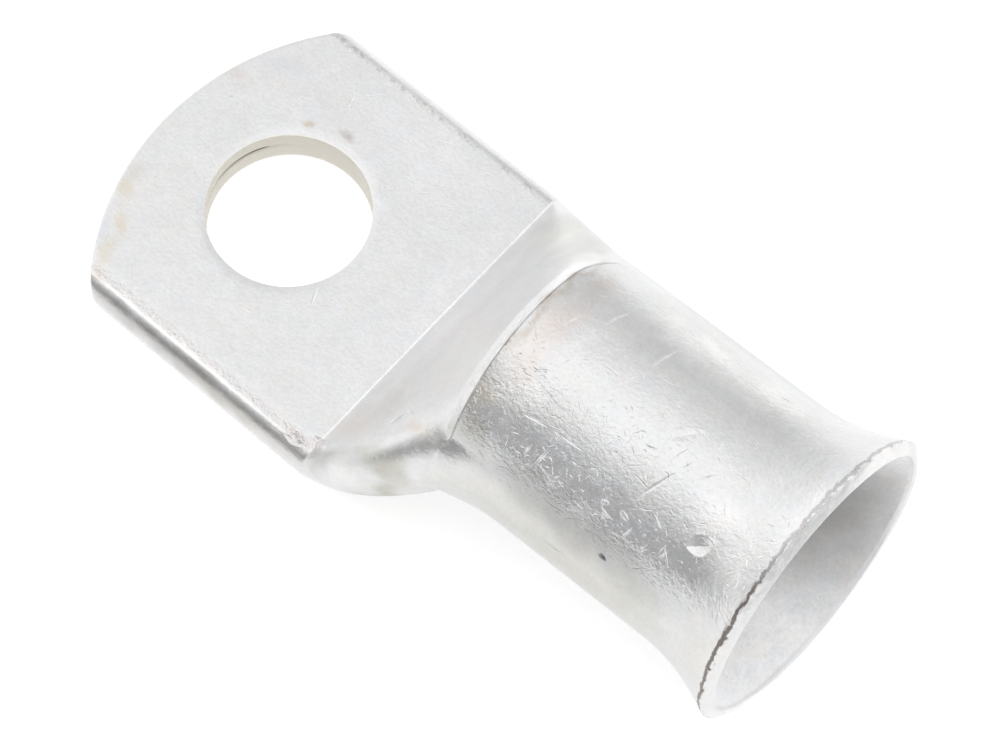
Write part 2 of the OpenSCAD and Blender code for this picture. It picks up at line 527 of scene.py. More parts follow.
def hollow_seam(station):
    gap = size["seam gap"]
    y, z = station.flat(half - size["tube wall"], gap * 0.5, gap * 0.5, fold_z - gap * 0.5)
    return hollow_start()[0] + y * 0.0, y, z


def on_bore(station, ring):
    length = size["barrel length"] + size["lip lead"]
    start = hollow_start()[1]
    along = blend(length - LIP_ROUND, start, ring ** 1.3)
    inner = rim - size["lip thickness"]
    on = station.round(along, flared(bore, inner, along + LIP_ROUND, length))
    # Its last stretch eases into the hollow behind the swollen flanks
    left = 1.0 - ((along - start) / (2 * MM)).held(0.0, 1.0)
    end = station.round(start, bore)
    swollen = station.slope(hollow_seam(station), end, start * 0.0 + 1.0)
    return tuple(o + (s - e) * left for o, s, e in zip(on, swollen, end))


HOLLOW_RINGS = 14


def on_hollow(station, ring):
    return station.slope(
        hollow_seam(station), station.round(hollow_start()[1], bore), 1.0 - ring)


def seam_face():
    """The hollow's closed end, where the pressed walls meet."""
    columns = TOP_POINTS + SIDE_POINTS
    grid = press.nodes.new("GeometryNodeMeshGrid")
    grid.inputs["Vertices X"].default_value = columns + 1
    grid.inputs["Vertices Y"].default_value = 2
    number = Amount(press.nodes.new("GeometryNodeInputIndex").outputs[0])
    column = (number / 2.0).work("FLOOR")
    row = number - column * 2.0
    index = column - SIDE_POINTS * 0.5
    index = index + index.work("LESS_THAN", 0.0) * ROUND_POINTS
    gap = size["seam gap"]
    y, z = Station(index).flat(half - size["tube wall"], gap * 0.5, gap * 0.5, fold_z - gap * 0.5)
    seam_x = hollow_start()[0]
    return set_place(
        grid.outputs["Mesh"], seam_x + y * 0.0, y, fold_z + (z - fold_z) * (1.0 - 2.0 * row))


skins = press.nodes.new("GeometryNodeJoinGeometry")
for stretch in (
    end_face(),
    sheet_of_tube(PALM_RINGS, on_palm),
    sheet_of_tube(SLOPE_RINGS, on_slope),
    sheet_of_tube(BARREL_RINGS, on_barrel),
    sheet_of_tube(LIP_RINGS, on_lip),
    sheet_of_tube(BORE_RINGS, on_bore),
    sheet_of_tube(HOLLOW_RINGS, on_hollow),
    seam_face(),
):
    press.links.new(stretch, skins.inputs[0])
welded = press.nodes.new("GeometryNodeMergeByDistance")
welded.inputs["Distance"].default_value = 0.002 * MM
press.links.new(skins.outputs[0], welded.inputs["Geometry"])

folds = press.nodes.new("GeometryNodeInputNamedAttribute")
folds.data_type = "FLOAT"
folds.inputs["Name"].default_value = "soft fold"
ease_folds = press.nodes.new("GeometryNodeBlurAttribute")
ease_folds.data_type = "FLOAT_VECTOR"
ease_folds.inputs["Iterations"].default_value = 26
value_in = next(socket for socket in ease_folds.inputs if socket.name == "Value" and socket.enabled)
value_out = next(socket for socket in ease_folds.outputs if socket.enabled)
press.links.new(press.nodes.new("GeometryNodeInputPosition").outputs[0], value_in)
weight = next(socket for socket in folds.outputs if socket.enabled and socket.name == "Attribute")
press.links.new(weight, ease_folds.inputs["Weight"])
eased = press.nodes.new("GeometryNodeSetPosition")
press.links.new(welded.outputs[0], eased.inputs["Geometry"])
press.links.new(value_out, eased.inputs["Position"])

# The punch: a round column with a raised line where the pressed walls' seam opens in the hole. The
# seam opens most at one turn round the hole.
SEAM_TURN = 2.95
SEAM_HIGH = 0.13 * MM
SEAM_DEEP = 0.24 * MM
punch = press.nodes.new("GeometryNodeMeshCylinder")
punch.inputs["Vertices"].default_value = 160
punch.inputs["Side Segments"].default_value = 24
punch.inputs["Radius"].default_value = 1.0
punch.inputs["Depth"].default_value = 6 * MM
where = press.nodes.new("ShaderNodeSeparateXYZ")
press.links.new(press.nodes.new("GeometryNodeInputPosition").outputs[0], where.inputs[0])
punch_x, punch_y, punch_z = (Amount(socket) for socket in where.outputs)
turn = punch_y.work("ARCTAN2", punch_x)
open_seam = ((punch_z * (1 / SEAM_HIGH)) ** 2.0 * -1.0).work("EXPONENT")
opening = (((turn - SEAM_TURN).work("COSINE") + 1.0) * 0.5) ** 12.0
punch_r = size["stud hole"] * 0.5 + open_seam * SEAM_DEEP * (0.12 + 0.88 * opening)
column = set_place(
    punch.outputs["Mesh"], punch_x * punch_r, punch_y * punch_r, punch_z + fold_z)
punched = press.nodes.new("GeometryNodeMeshBoolean")
punched.operation = "DIFFERENCE"
punched.solver = "EXACT"
press.links.new(eased.outputs[0], punched.inputs["Mesh 1"])
press.links.new(column, punched.inputs["Mesh 2"])

# Hand pressing and barrel plating leave no face quite true
waves = press.nodes.new("ShaderNodeTexNoise")
waves.noise_dimensions = "4D"
waves.inputs["W"].default_value = 7.0
waves.inputs["Scale"].default_value = 190.0
waves.inputs["Detail"].default_value = 2.0
press.links.new(press.nodes.new("GeometryNodeInputPosition").outputs[0], waves.inputs["Vector"])
push = (Amount(waves.outputs[0]) - 0.5) * size["unevenness"]
scaled = press.nodes.new("ShaderNodeVectorMath")
scaled.operation = "SCALE"
press.links.new(press.nodes.new("GeometryNodeInputNormal").outputs[0], scaled.inputs[0])
press.links.new(push.socket, scaled.inputs["Scale"])
uneven = press.nodes.new("GeometryNodeSetPosition")
press.links.new(punched.outputs["Mesh"], uneven.inputs["Geometry"])
press.links.new(scaled.outputs[0], uneven.inputs["Offset"])

real = press.nodes.new("GeometryNodeRealizeInstances")
plated = press.nodes.new("GeometryNodeSetMaterial")
press.links.new(uneven.outputs[0], real.inputs[0])
press.links.new(real.outputs[0], plated.inputs["Geometry"])
press.links.new(orders.outputs["plating"], plated.inputs["Material"])
press.links.new(plated.outputs[0], done.inputs[0])

# ---------------------------------------------------------------------------------------------
# The lug's finish. Electroplated tin over copper, tumbled in a barrel with its fellows, which
# leaves it satin with a great many small scratches and knocks, and tarnished where it was handled.
# Wide areas of its colour also carry painted light and shade.
# ---------------------------------------------------------------------------------------------
TILT = math.atan2(SIZES["rim diameter"] - SIZES["barrel diameter"], 2 * SIZES["barrel length"])
SHOULDER_X = (SIZES["crease"] + SIZES["slope run"]) / MM
AXIS_Z = SIZES["barrel diameter"] / 2 / MM * math.cos(TILT)
BARREL_R = SIZES["barrel diameter"] / 2 / MM
HOLE_R = SIZES["stud hole"] / 2 / MM

tin = bpy.data.materials.new("barrel_plated_tin")
tin.use_nodes = True
plating = tin.node_tree
metal = plating.nodes["Principled BSDF"]
metal.inputs["Metallic"].default_value = 1.0


def feed(node, name, value):
    """Gives one input of a finish node a number, a worked amount or another node's output."""
    if isinstance(value, Amount):
        plating.links.new(value.socket, node.inputs[name])
    elif isinstance(value, bpy.types.NodeSocket):
        plating.links.new(value, node.inputs[name])
    else:
        node.inputs[name].default_value = value


def moved(where, *offset):
    node = plating.nodes.new("ShaderNodeVectorMath")
    node.operation = "ADD"
    feed(node, 0, where)
    feed(node, 1, offset)
    return node.outputs[0]


def grain(where, per_mm, detail, rough=0.5):
    """Random unevenness round 0.5, with about per_mm grains to the millimetre."""
    node = plating.nodes.new("ShaderNodeTexNoise")
    feed(node, "Vector", where)
    feed(node, "Scale", per_mm)
    feed(node, "Detail", detail)
    feed(node, "Roughness", rough)
    return node


def spot(where, u, v, length, width, turn):
    """1 at a point of the unrolled skin, fading straight to 0 round an oval of this size."""
    stretch = plating.nodes.new("ShaderNodeMapping")
    stretch.vector_type = "TEXTURE"
    feed(stretch, "Vector", where)
    feed(stretch, "Location", (u, v, 0))
    feed(stretch, "Rotation", (0, 0, math.radians(turn)))
    feed(stretch, "Scale", (length / 2, width / 2, 1))
    fade = plating.nodes.new("ShaderNodeTexGradient")
    fade.gradient_type = "SPHERICAL"
    feed(fade, "Vector", stretch.outputs[0])
    return Amount(fade.outputs["Fac"])


def between(value, start, end):
    """0 before start, rising smoothly to 1 at end."""
    node = plating.nodes.new("ShaderNodeMapRange")
    node.interpolation_type = "SMOOTHSTEP"
    feed(node, "Value", value)
    feed(node, "From Min", start)
    feed(node, "From Max", end)
    return Amount(node.outputs[0])


def tinted(under, colour, share, how="MIX"):
    """A colour laid over another, or multiplied into it, where share is above 0."""
    node = plating.nodes.new("ShaderNodeMix")
    node.data_type = "RGBA"
    node.blend_type = how
    feed(node, 0, share)
    feed(node, 6, under)
    feed(node, 7, colour + (1,) if isinstance(colour, tuple) else colour)
    return node.outputs[2]


skin_place = plating.nodes.new("ShaderNodeTexCoord")
in_mm = plating.nodes.new("ShaderNodeVectorMath")
in_mm.operation = "SCALE"
feed(in_mm, 0, skin_place.outputs["Object"])
feed(in_mm, "Scale", 1 / MM)
solid = in_mm.outputs[0]
apart = plating.nodes.new("ShaderNodeSeparateXYZ")
feed(apart, 0, solid)
x_mm, y_mm, z_mm = (Amount(socket) for socket in apart.outputs)
along = (x_mm - SHOULDER_X) * math.cos(TILT) + (z_mm - AXIS_Z) * math.sin(TILT)
above = (z_mm - AXIS_Z) * math.cos(TILT) - (x_mm - SHOULDER_X) * math.sin(TILT)
from_axis = (y_mm * y_mm + above * above).work("SQRT")
around = (y_mm * -1.0).work("ARCTAN2", above) * BARREL_R

# The skin laid flat: u runs from the palm's end to the mouth, v from the middle of the top
# towards the side with the deeper knocks. The underside and the bore lie apart from the top, and
# the palm's sides are folded out flat. All in millimetres.
BARREL_START = -0.15
UNDERSIDE_TOP = 1.0
UNDERSIDE_APART = 100.0
BORE_APART = 200.0
SIDE_FROM = 12.4
SIDE_TO = 13.6
SIDE_TOP = 3.5
bore_mark = plating.nodes.new("ShaderNodeAttribute")
bore_mark.attribute_name = "bore skin"
in_bore = Amount(bore_mark.outputs["Fac"])
on_barrel_skin = along.work("GREATER_THAN", BARREL_START)
below = z_mm.work("LESS_THAN", UNDERSIDE_TOP) * (1.0 - on_barrel_skin)
over_side = between(y_mm.work("ABSOLUTE"), SIDE_FROM, SIDE_TO) * (SIDE_TOP - z_mm).held(0.0, SIDE_TOP)
skin_u = blend(x_mm, along + SHOULDER_X, on_barrel_skin) + in_bore * BORE_APART
skin_v = blend(y_mm * -1.0 - y_mm.work("SIGN") * over_side, around, on_barrel_skin)
skin_v = skin_v + below * UNDERSIDE_APART
flat_skin = plating.nodes.new("ShaderNodeCombineXYZ")
feed(flat_skin, 0, skin_u)
feed(flat_skin, 1, skin_v)
skin = flat_skin.outputs[0]

# Slow wandering, which bends the scratches and mottles the tin
wander = grain(solid, 0.5, 2.0).outputs["Color"]
wander_parts = plating.nodes.new("ShaderNodeSeparateColor")
feed(wander_parts, 0, wander)
wander_1, wander_2, wander_3 = (Amount(socket) for socket in wander_parts.outputs)
bend = plating.nodes.new("ShaderNodeVectorMath")
bend.operation = "MULTIPLY_ADD"
feed(bend, 0, wander)
feed(bend, 1, (1.1, 1.1, 0.0))
feed(bend, 2, skin)
bent_skin = bend.outputs[0]

# Knocks from other lugs in the barrel: u, v, length, width, turn and depth
KNOCKS = (
    (40.3, 4.9, 3.4, 0.34, -68, 0.09),
    (41.3, 2.4, 1.3, 0.22, -66, 0.05),
    (40.4, 2.0, 1.9, 0.20, -72, 0.05),
    (32.2, 8.4, 2.4, 0.26, -78, 0.08),
    (31.0, 8.6, 1.5, 0.20, -79, 0.06),
    (30.0, -3.3, 2.6, 0.24, -77, 0.06),
    (27.8, -0.7, 1.7, 0.20, -74, 0.06),
    (34.6, -3.0, 2.9, 0.30, -82, 0.08),
    (30.4, 6.4, 2.4, 0.22, -9, 0.06),
    (33.6, 6.1, 2.2, 0.22, -2, 0.06),
    (35.8, 14.9, 2.7, 0.24, -7, 0.06),
    (42.7, -7.4, 1.1, 0.22, -18, 0.05),
    (38.4, 8.7, 1.5, 0.18, 15, 0.05),
    (42.0, 6.8, 1.3, 0.18, 30, 0.05),
    (43.0, 2.1, 1.5, 0.18, -52, 0.04),
    (40.4, 9.0, 1.6, 0.20, -74, 0.06),
    (43.5, 8.6, 1.4, 0.22, -70, 0.06),
    (37.2, 11.2, 1.3, 0.20, -75, 0.05),
    (-10.0, -4.3, 1.7, 0.16, -64, 0.05),
    (-2.7, -10.1, 1.4, 0.18, 82, 0.06),
    (-8.8, 10.8, 1.3, 0.16, 70, 0.05),
    (6.4, 4.1, 1.6, 0.26, 66, 0.07),
    (8.7, 13.4, 0.6, 0.22, 50, 0.06),
    (19.9, 9.6, 1.3, 0.30, -65, 0.09),
    (20.6, 9.0, 0.9, 0.25, 20, 0.07),
)
knocked = None
for u, v, length, width, turn, depth in KNOCKS:
    dent = spot(skin, u, v, length, width, turn) * -depth
    knocked = dent if knocked is None else knocked + dent


def tumbled(cell, length, width, depth, seed):
    """Short curved scratches, one to a cell of the skin, each at its own angle."""
    cells = plating.nodes.new("ShaderNodeTexVoronoi")
    cells.voronoi_dimensions = "2D"
    feed(cells, "Scale", 1 / cell)
    place = moved(bent_skin, seed * 17.3, seed * 9.1, 0)
    feed(cells, "Vector", place)
    gap = plating.nodes.new("ShaderNodeVectorMath")
    gap.operation = "SUBTRACT"
    feed(gap, 0, place)
    feed(gap, 1, cells.outputs["Position"])
    parts = plating.nodes.new("ShaderNodeSeparateXYZ")
    feed(parts, 0, gap.outputs[0])
    du, dv = Amount(parts.outputs[0]), Amount(parts.outputs[1])
    luck = plating.nodes.new("ShaderNodeSeparateColor")
    feed(luck, 0, cells.outputs["Color"])
    turn = Amount(luck.outputs[0]) * math.pi
    sine, cosine = turn.work("SINE"), turn.work("COSINE")
    lengthways = (du * cosine + dv * sine).work("ABSOLUTE") / (
        (Amount(luck.outputs[1]) * 0.8 + 0.3) * length)
    across = (dv * cosine - du * sine).work("ABSOLUTE") / width
    groove = (1.0 - across).work("MAXIMUM", 0.0)
    deepest = Amount(luck.outputs[2]) * depth
    return groove * (1.0 - lengthways).work("MAXIMUM", 0.0).work("SQRT") * deepest


# The tube is knocked about most along the middle of one side, and least on its flare
on_tube = on_barrel_skin * (1.0 - in_bore)
worn = between(skin_v, -2.5, 3.5) * (1.0 - between(skin_v, 9.5, 13.0))
worn = on_tube * (worn * (1.0 - 0.6 * between(skin_u, 43.0, 47.0)))
busy = (0.5 + 0.7 * between(wander_3, 0.42, 0.58)) * (0.28 + 0.12 * on_tube + 0.75 * worn)
scratches = (
    tumbled(2.1, 1.0, 0.065, 0.038, 1.0) + tumbled(1.05, 0.55, 0.055, 0.028, 2.0)
    + tumbled(0.55, 0.28, 0.05, 0.022, 3.0)
) * busy

# The satin itself: fine crystals, and slow waves under them
crystals = Amount(grain(solid, 3.2, 2.0, 0.65).outputs[0])
ripple = Amount(grain(moved(solid, 40, 0, 0), 1.3, 2.0, 0.6).outputs[0])

# A rubbed and chipped strip along the palm's near top edge, a broken dark line along its far top edge,
# and the torn corner of the crease
NEAR_EDGE = 13.45
FAR_EDGE = 13.55
edge_near = 1.0 - ((skin_v - NEAR_EDGE).work("ABSOLUTE") / 0.6).held(0.0, 1.0)
edge_far = 1.0 - ((skin_v + FAR_EDGE + (ripple - 0.5) * 1.6).work("ABSOLUTE") / 0.28).held(0.0, 1.0)
palm_only = (1.0 - between(x_mm, 14.4, 15.4)) * z_mm.work("GREATER_THAN", 2.4)
rubbed = edge_near * palm_only
torn = spot(skin, 13.2, 13.6, 3.6, 1.7, 12) + spot(skin, 15.0, 13.0, 1.8, 1.2, 0)
torn = torn * z_mm.work("GREATER_THAN", 2.2)

# The rim's burr: a thin ragged roll of metal round the outer edge of the mouth, with a dark line behind
# it that is partly dark rough metal and partly painted shade under the roll
RIM_OUTSIDE = 11.6
rim_gap = (along - SIZES["barrel length"] / MM + 0.18) + (ripple + crystals * 0.6 - 0.8) * 0.6
burr = between(rim_gap, -0.24, -0.06) * (1.0 - between(rim_gap, 0.06, 0.2)) * (1.0 - in_bore)
burr_worst = 0.35 + 0.65 * between(around, 2.0, 9.0)
burr = burr * burr_worst * from_axis.work("GREATER_THAN", RIM_OUTSIDE)

height = (
    knocked - scratches + (crystals - 0.5) * (0.023 + 0.003 * on_tube + 0.020 * worn)
    + (ripple - 0.5) * (0.014 + 0.008 * on_tube + 0.014 * worn)
    + (crystals - 0.5) * (rubbed * 0.14 + torn * 0.20) - burr * 0.10
)
bump = plating.nodes.new("ShaderNodeBump")
feed(bump, "Strength", 1.0)
feed(bump, "Distance", MM)
feed(bump, "Height", height)
plating.links.new(bump.outputs[0], metal.inputs["Normal"])

# Colour: the tin's own grey, wide areas of painted light and shade, then tarnish broken up into blotches,
# some of it painted shade and a painted reflection
TIN_GREY = 0.727
tone = TIN_GREY + (wander_3 - 0.5) * 0.07 + (crystals - 0.5) * 0.13 + (ripple - 0.5) * 0.08
warmth = (wander_1 - wander_2) * 0.03 + (crystals - ripple) * 0.03
pale = plating.nodes.new("ShaderNodeCombineColor")
feed(pale, 0, tone * (1.0 + warmth))
feed(pale, 1, tone)
feed(pale, 2, tone * (1.002 - warmth))
# Painted light and shade over wide areas, then tarnish mixed with some painted shade and a painted
# reflection, both kept on the mesh's points
painted_light_and_shade_colour = plating.nodes.new("ShaderNodeAttribute")
painted_light_and_shade_colour.attribute_name = "painted_light_and_shade"
tarnish_and_painted_light_colour = plating.nodes.new("ShaderNodeAttribute")
tarnish_and_painted_light_colour.attribute_name = "tarnish_and_painted_light"
blotch = between(ripple * 0.55 + crystals * 0.45, 0.36, 0.58)
colour = tinted(pale.outputs[0], painted_light_and_shade_colour.outputs["Color"], 1.0, "MULTIPLY")
colour = tinted(colour, tarnish_and_painted_light_colour.outputs["Color"], 0.35 + 0.65 * blotch, "MULTIPLY")
specks = between(crystals, 0.70, 0.78) * (1.0 - on_tube * 0.7)
colour = tinted(colour, (0.45, 0.43, 0.42), specks * 0.6)
from_hole = (x_mm * x_mm + y_mm * y_mm).work("SQRT")
hole_wall = from_hole.work("LESS_THAN", HOLE_R + 0.04)
in_seam = from_hole.work("LESS_THAN", HOLE_R + 0.3) * z_mm.work("LESS_THAN", 3.1)
hole_wall = hole_wall.work("MAXIMUM", in_seam * z_mm.work("GREATER_THAN", 0.4))
colour = tinted(colour, (0.79, 0.77, 0.72), hole_wall * 0.9)
seam_turn = (y_mm.work("ARCTAN2", x_mm) - SEAM_TURN).work("COSINE")
seam_dark = 1.0 - ((z_mm - PALM_THICK / 2 / MM).work("ABSOLUTE") / 0.16).held(0.0, 1.0)
seam_dark = seam_dark * hole_wall * between(seam_turn, 0.91, 0.97)
colour = tinted(colour, (0.12, 0.09, 0.06), (seam_dark * 2.0).held(0.0, 0.85))
# The dark line at the burr: partly dark rough metal, partly painted shade
colour = tinted(colour, (0.16, 0.13, 0.11), (burr * 1.1).held(0.0, 0.9))
colour = tinted(colour, (0.86, 0.80, 0.78), (torn * 1.4).held(0.0, 0.7) * blotch)
colour = tinted(colour, (0.74, 0.71, 0.70), rubbed * blotch * 0.8)
colour = tinted(colour, (0.34, 0.31, 0.29), edge_far * palm_only * between(ripple, 0.42, 0.60) * 0.5)
plating.links.new(colour, metal.inputs["Base Color"])

shine = 0.36 + (ripple - 0.5) * 0.10 + in_bore * 0.5 - (scratches * 3.0).held(0.0, 0.08)
plating.links.new(shine.held(0.15, 0.9).socket, metal.inputs["Roughness"])

blank = bpy.data.objects.new("tinned_lug_blank", bpy.data.meshes.new("tinned_lug_blank"))
scene.collection.objects.link(blank)
pressing = blank.modifiers.new("press", "NODES")
pressing.node_group = press
for socket in press.interface.items_tree:
    if socket.in_out == "INPUT" and socket.name in SIZES:
        pressing[socket.identifier] = SIZES[socket.name]
    elif socket.in_out == "INPUT":
        pressing[socket.identifier] = tin
bpy.context.view_layer.update()
shape = bpy.data.meshes.new_from_object(
    blank.evaluated_get(bpy.context.evaluated_depsgraph_get()))
bpy.data.objects.remove(blank)
lug = bpy.data.objects.new("tinned_lug", shape)
scene.collection.objects.link(lug)

# The deepest knocks, the pit and the crease's torn corner are struck into the shape itself, so the
# mesh round them is cut finer: u, v, length, width, turn and depth
DENTS = (
    (45.4, 6.3, 2.1, 1.45, -40, 0.28),
    (39.6, 8.0, 1.1, 0.60, 20, 0.07),
    (37.9, 8.1, 0.9, 0.50, -10, 0.06),
    (39.7, 0.8, 3.1, 0.90, -48, 0.08),
    (15.0, 13.0, 2.0, 1.1, 20, -0.20),
    (13.2, 13.9, 1.8, 0.9, -10, 0.22),
    (39.5, 12.0, 0.9, 0.5, 8, 0.10),
)


def laid_flat(points, inner):
    """The same u and v as the finish uses, for an array of points in millimetres."""
    px, py, pz = points.T
    run = (px - SHOULDER_X) * math.cos(TILT) + (pz - AXIS_Z) * math.sin(TILT)
    rise = (pz - AXIS_Z) * math.cos(TILT) - (px - SHOULDER_X) * math.sin(TILT)
    barrel_part = run > BARREL_START
    side = soft_step(np.clip((np.abs(py) - SIDE_FROM) / (SIDE_TO - SIDE_FROM), 0, 1))
    side = side * np.clip(SIDE_TOP - pz, 0, SIDE_TOP)
    u = np.where(barrel_part, run + SHOULDER_X, px) + BORE_APART * inner
    v = np.where(barrel_part, np.arctan2(-py, rise) * BARREL_R, -py - np.sign(py) * side)
    return u, v + UNDERSIDE_APART * ((pz < UNDERSIDE_TOP) & ~barrel_part)


def oval(u, v, at_u, at_v, length, width, turn, pointed=False):
    """How far a place on the flat skin is from an oval's middle: 1 at its edge."""
    cosine, sine = math.cos(math.radians(turn)), math.sin(math.radians(turn))
    lengthways = ((u - at_u) * cosine + (v - at_v) * sine) / (length / 2)
    across = ((v - at_v) * cosine - (u - at_u) * sine) / (width / 2)
    # A knock from a corner has pointed ends and a straight valley
    return lengthways ** 2 + np.abs(across) if pointed else np.hypot(lengthways, across)


def mesh_points(mesh):
    flat = np.empty(3 * len(mesh.vertices))
    mesh.vertices.foreach_get("co", flat)
    return flat.reshape(-1, 3) / MM


def bore_share(mesh):
    share = np.empty(len(mesh.vertices))
    mesh.attributes["bore skin"].data.foreach_get("value", share)
    return share


struck = bmesh.new()
struck.from_mesh(shape)
bmesh.ops.dissolve_degenerate(struck, dist=0.001 * MM, edges=struck.edges)
struck.verts.ensure_lookup_table()
inner_layer = struck.verts.layers.float["bore skin"]
points = np.array([vertex.co for vertex in struck.verts]) / MM
inner = np.array([vertex[inner_layer] for vertex in struck.verts])
u, v = laid_flat(points, inner)
near_dent = np.zeros(len(u), bool)
for at_u, at_v, length, width, turn, _ in DENTS:
    near_dent |= oval(u, v, at_u, at_v, length + 0.5, width + 0.5, turn) < 1.0
finer = [edge for edge in struck.edges if all(near_dent[vertex.index] for vertex in edge.verts)]
bmesh.ops.subdivide_edges(struck, edges=finer, cuts=3, use_grid_fill=True)
struck.to_mesh(shape)
struck.free()

points = mesh_points(shape)
inner = bore_share(shape)
u, v = laid_flat(points, inner)
normals = np.empty(3 * len(shape.vertices))
shape.vertices.foreach_get("normal", normals)
normals = normals.reshape(-1, 3)
sunk = np.zeros(len(u))
for at_u, at_v, length, width, turn, depth in DENTS:
    gap = oval(u, v, at_u, at_v, length, width, turn, pointed=True)
    sunk += depth * (np.clip(1.0 - gap, 0, 1) - 0.08 * np.exp(-((gap - 1.12) / 0.14) ** 2))
jitter = np.array([noise.noise(Vector(point) * 2.6) for point in points])
# The palm's near edge is chipped, and the mouth's outer edge is ragged
CHIPPED_EDGE = 13.3
on_edge = np.clip(1.0 - np.abs(v - CHIPPED_EDGE) / 0.7, 0, 1) * (points[:, 0] < 15) * (points[:, 2] > 2.4)
sunk += on_edge * (0.03 + 0.09 * jitter)
rim_edge = np.exp(-((u - SHOULDER_X - SIZES["barrel length"] / MM) / 0.22) ** 2) * (inner < 0.5)
sunk += rim_edge * (0.035 + 0.10 * jitter)
points -= normals * sunk[:, None]
# The unevenness and the knocks stay inside the lug's overall size
points = np.clip(points, np.array(palm_low) / MM, np.array(rim_high) / MM)
shape.vertices.foreach_set("co", (points * MM).ravel())

# Painted light and shade: wide areas lightened or darkened where the light falls brighter or darker, with
# painted highlights, a painted dark band in the reflection along the barrel's near side, and painted
# shade on the low flanks and the bore's upper wall: u, v, length, width, turn and tint
PAINTED_LIGHT_AND_SHADE = (
    (36.0, 15.8, 36.0, 10.5, 0, (0.81, 0.80, 0.75)),
    (43.0, 13.4, 9.0, 6.0, 0, (0.90, 0.90, 0.88)),
    (49.0, 12.5, 6.0, 8.0, 0, (0.94, 0.93, 0.90)),
    (36.0, 7.8, 32.0, 5.0, 0, (1.12, 1.12, 1.13)),
    (36.0, 11.5, 30.0, 6.2, 0, (0.61, 0.61, 0.60)),
    (36.5, -6.0, 23.0, 5.4, 0, (1.22, 1.22, 1.21)),
    (48.3, 6.6, 6.0, 6.4, 0, (1.34, 1.34, 1.33)),
    (28.3, 5.6, 5.6, 4.2, 0, (1.18, 1.18, 1.17)),
    (26.4, 7.0, 4.0, 4.0, 0, (1.16, 1.15, 1.12)),
    (22.0, 12.9, 4.4, 3.0, 0, (0.78, 0.77, 0.73)),
    (16.2, 14.3, 4.4, 2.8, 0, (0.74, 0.74, 0.72)),
    (23.6, 10.4, 3.2, 2.2, 0, (1.22, 1.22, 1.20)),
    (38.0, -12.6, 34.0, 6.4, 0, (0.81, 0.81, 0.81)),
    (18.5, -11.6, 8.0, 5.4, 0, (0.88, 0.88, 0.87)),
    (19.5, 13.6, 9.0, 2.8, 0, (0.88, 0.88, 0.86)),
    (16.4, 0.0, 5.0, 22.0, 0, (1.13, 1.13, 1.13)),
    (24.6, -5.0, 2.8, 8.0, 0, (1.12, 1.12, 1.12)),
    (51.4, -6.0, 2.6, 14.0, 0, (1.12, 1.11, 1.10)),
    (1.0, -14.2, 32.0, 1.6, 0, (1.10, 1.10, 1.10)),
    (1.0, 15.6, 34.0, 3.0, 0, (0.73, 0.72, 0.70)),
    (1.0, 13.95, 34.0, 1.0, 0, (1.30, 1.29, 1.27)),
    (28.0, 8.0, 5.0, 4.0, 0, (1.08, 1.08, 1.08)),
    (37.0, 10.3, 25.0, 2.8, 0, (0.93, 0.93, 0.93)),
    (45.5, 4.0, 7.0, 4.6, 0, (1.13, 1.12, 1.12)),
    (34.5, -8.6, 13.0, 7.0, 0, (0.97, 0.97, 0.96)),
    (42.4, -6.9, 6.0, 5.0, 0, (1.07, 1.07, 1.06)),
    (48.6, -2.0, 6.0, 11.0, 0, (0.90, 0.90, 0.90)),
    (30.0, -1.7, 6.0, 5.0, 0, (1.06, 1.05, 1.05)),
    (22.3, -8.6, 6.5, 9.0, 0, (0.80, 0.80, 0.78)),
    (19.5, 0.6, 9.0, 11.0, 0, (1.08, 1.06, 1.06)),
    (18.2, 8.8, 4.5, 5.0, 0, (0.92, 0.91, 0.89)),
    (20.6, 12.8, 6.0, 3.0, 0, (0.86, 0.86, 0.82)),
    (5.0, -11.0, 16.0, 8.0, 0, (1.05, 1.05, 1.06)),
    (13.4, 0.0, 3.6, 26.0, 0, (1.03, 1.03, 1.04)),
    (9.0, 15.6, 18.0, 4.0, 0, (0.93, 0.92, 0.89)),
    (246.0, -22.0, 20.0, 26.0, 0, (0.56, 0.555, 0.55)),
    (26.2, 10.2, 5.0, 4.4, 0, (0.84, 0.83, 0.79)),
    (51.6, 28.0, 3.2, 22.0, 0, (1.28, 1.28, 1.30)),
    (51.6, -30.0, 3.2, 20.0, 0, (1.22, 1.22, 1.24)),
)
